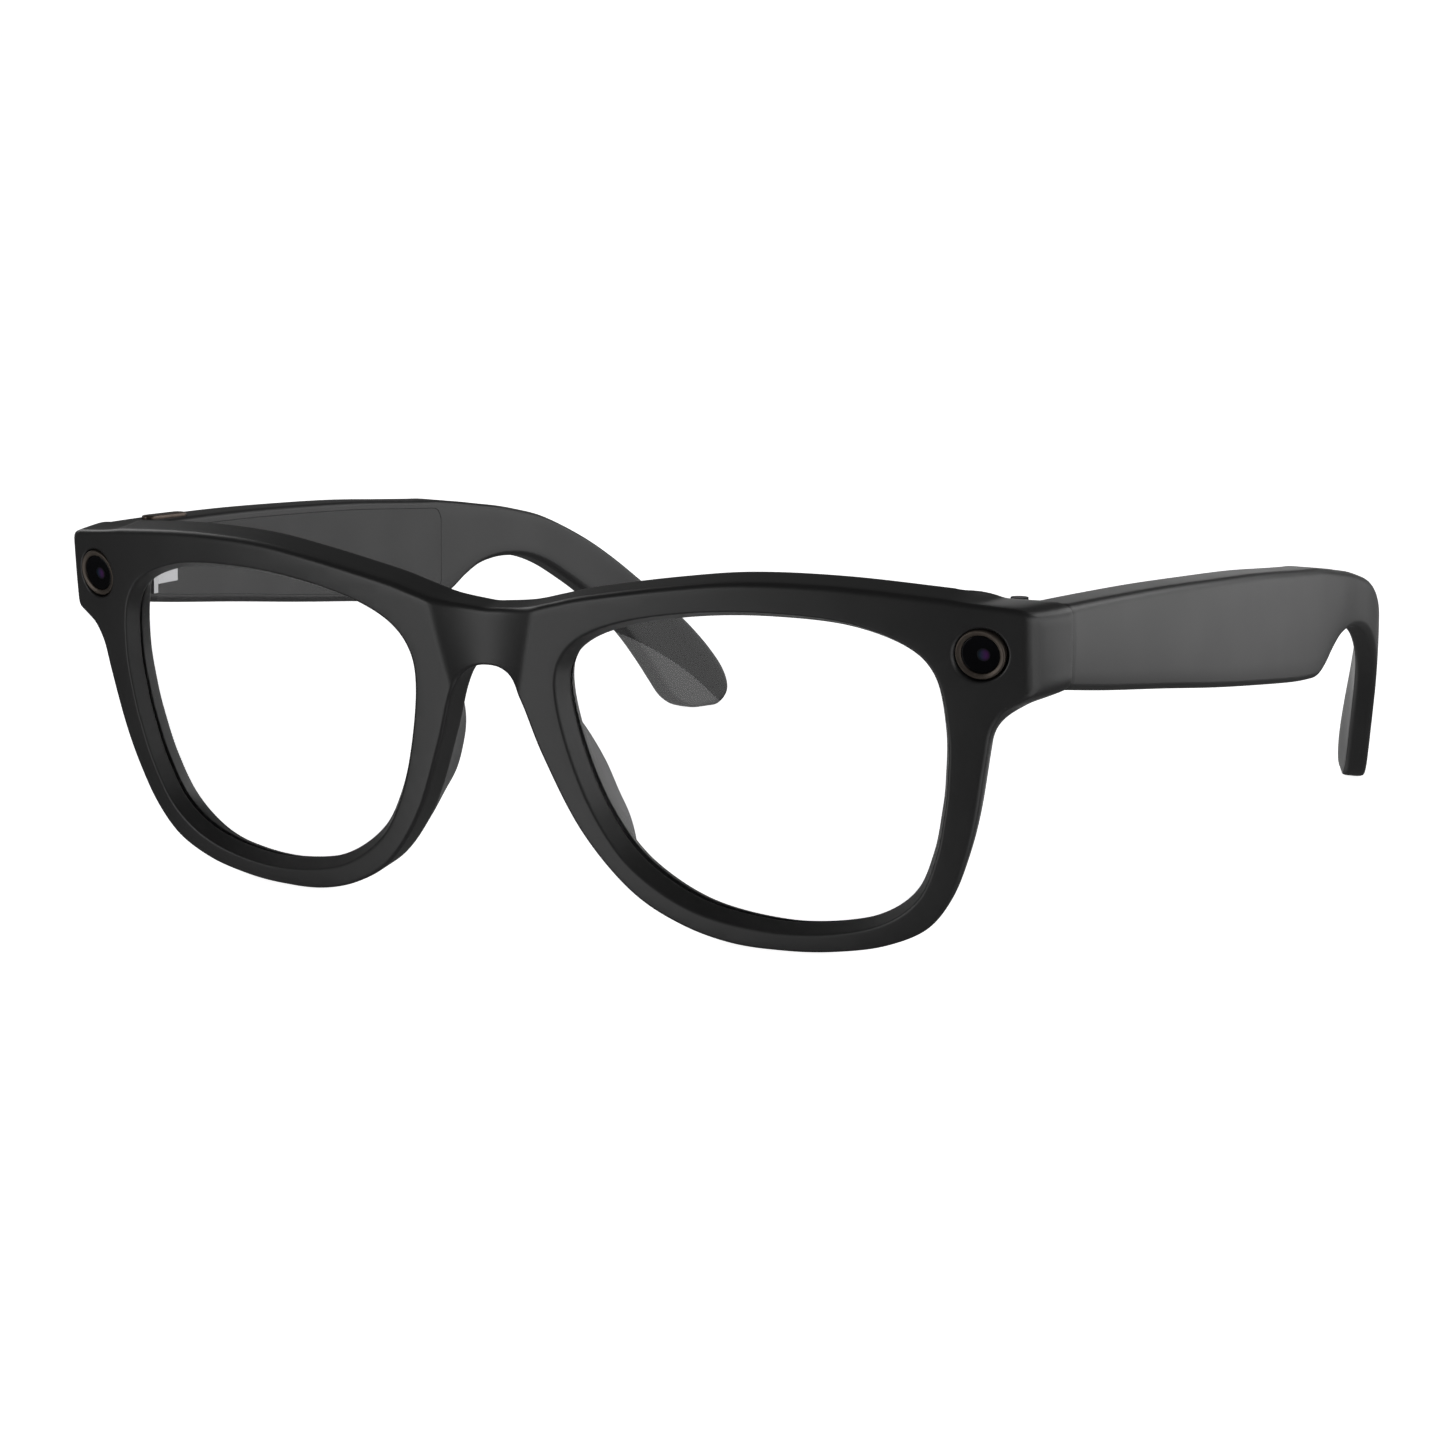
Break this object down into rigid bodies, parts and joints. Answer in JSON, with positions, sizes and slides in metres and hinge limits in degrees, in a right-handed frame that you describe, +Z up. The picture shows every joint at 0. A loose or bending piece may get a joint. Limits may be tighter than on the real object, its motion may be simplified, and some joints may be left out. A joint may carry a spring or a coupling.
{
  "type": "smart glasses",
  "caption": "Full-rim smart glasses with clear lenses, a camera and a capture light in the end pieces, deep electronics temples that fold, and a capture button.",
  "frame": {"origin": "middle of the footprint, on the table: the glasses stand on their lower rims and temple tips", "axes": "+X towards the wearer's left, -Y the way the wearer looks, +Z up; the temples run back along +Y"},
  "size_m": [0.1506, 0.1654, 0.0481],
  "materials": {
    "frame": "matte moulded nylon",
    "cover": "matte moulded plastic",
    "lens": "clear, uncoated",
    "bezel": "dark bronze ring",
    "window": "gloss black window",
    "black_part": "black moulded",
    "board": "solder mask",
    "flex": "polyimide film",
    "contact": "gold plated",
    "pad": "satin moulded",
    "steel": "fine brushed",
    "cell": "foil pouch",
    "button": "bronze satin"
  },
  "bodies": {
    "front": {"front_frame": "frame", "rear_brow_cover": "cover", "lens_left": "lens", "lens_right": "lens", "camera_bezel": "bezel", "camera_window": "window", "camera_module": "black_part", "light_bezel": "bezel", "light_window": "window", "light_board": "board", "front_flex": "flex", "nose_mic": "black_part", "charging_contact_left": "contact", "charging_contact_right": "contact", "nose_pad_left": "pad", "nose_pad_right": "pad", "hinge_front_leaf_left": "steel", "hinge_front_leaf_right": "steel", "hinge_screw_left": "steel", "hinge_screw_right": "steel"},
    "temple_left": {"temple_shell_left": "frame", "temple_cover_left": "cover", "hinge_rear_leaf_left": "steel", "battery_left": "cell", "battery_board_left": "board", "speaker_left": "black_part", "microphone_left": "black_part"},
    "temple_right": {"temple_shell_right": "frame", "temple_cover_right": "cover", "hinge_rear_leaf_right": "steel", "main_board_right": "board", "shield_can_right": "steel", "touch_sensor_right": "flex", "speaker_right": "black_part", "microphone_right": "black_part", "capture_switch": "black_part"},
    "power_switch": {"power_switch": "black_part"},
    "capture_button": {"capture_button": "button"}
  },
  "joints": [
    {"name": "temple_left_fold", "type": "hinge", "parent": "front", "child": "temple_left", "pos_m": [0.0652, -0.06399, 0.0407], "axis": [0, 0, 1], "range_deg": [0, 90]},
    {"name": "temple_right_fold", "type": "hinge", "parent": "front", "child": "temple_right", "pos_m": [-0.0652, -0.06399, 0.0407], "axis": [0, 0, -1], "range_deg": [0, 76]},
    {"name": "capture_button_press", "type": "slide", "parent": "temple_right", "child": "capture_button", "axis": [0, 0, -1], "range_m": [0, 0.0004], "stiffness_N_per_m": 800},
    {"name": "power_switch_slide", "type": "slide", "parent": "temple_left", "child": "power_switch", "axis": [0, 1, 0], "range_m": [0, 0.002]}
  ]
}
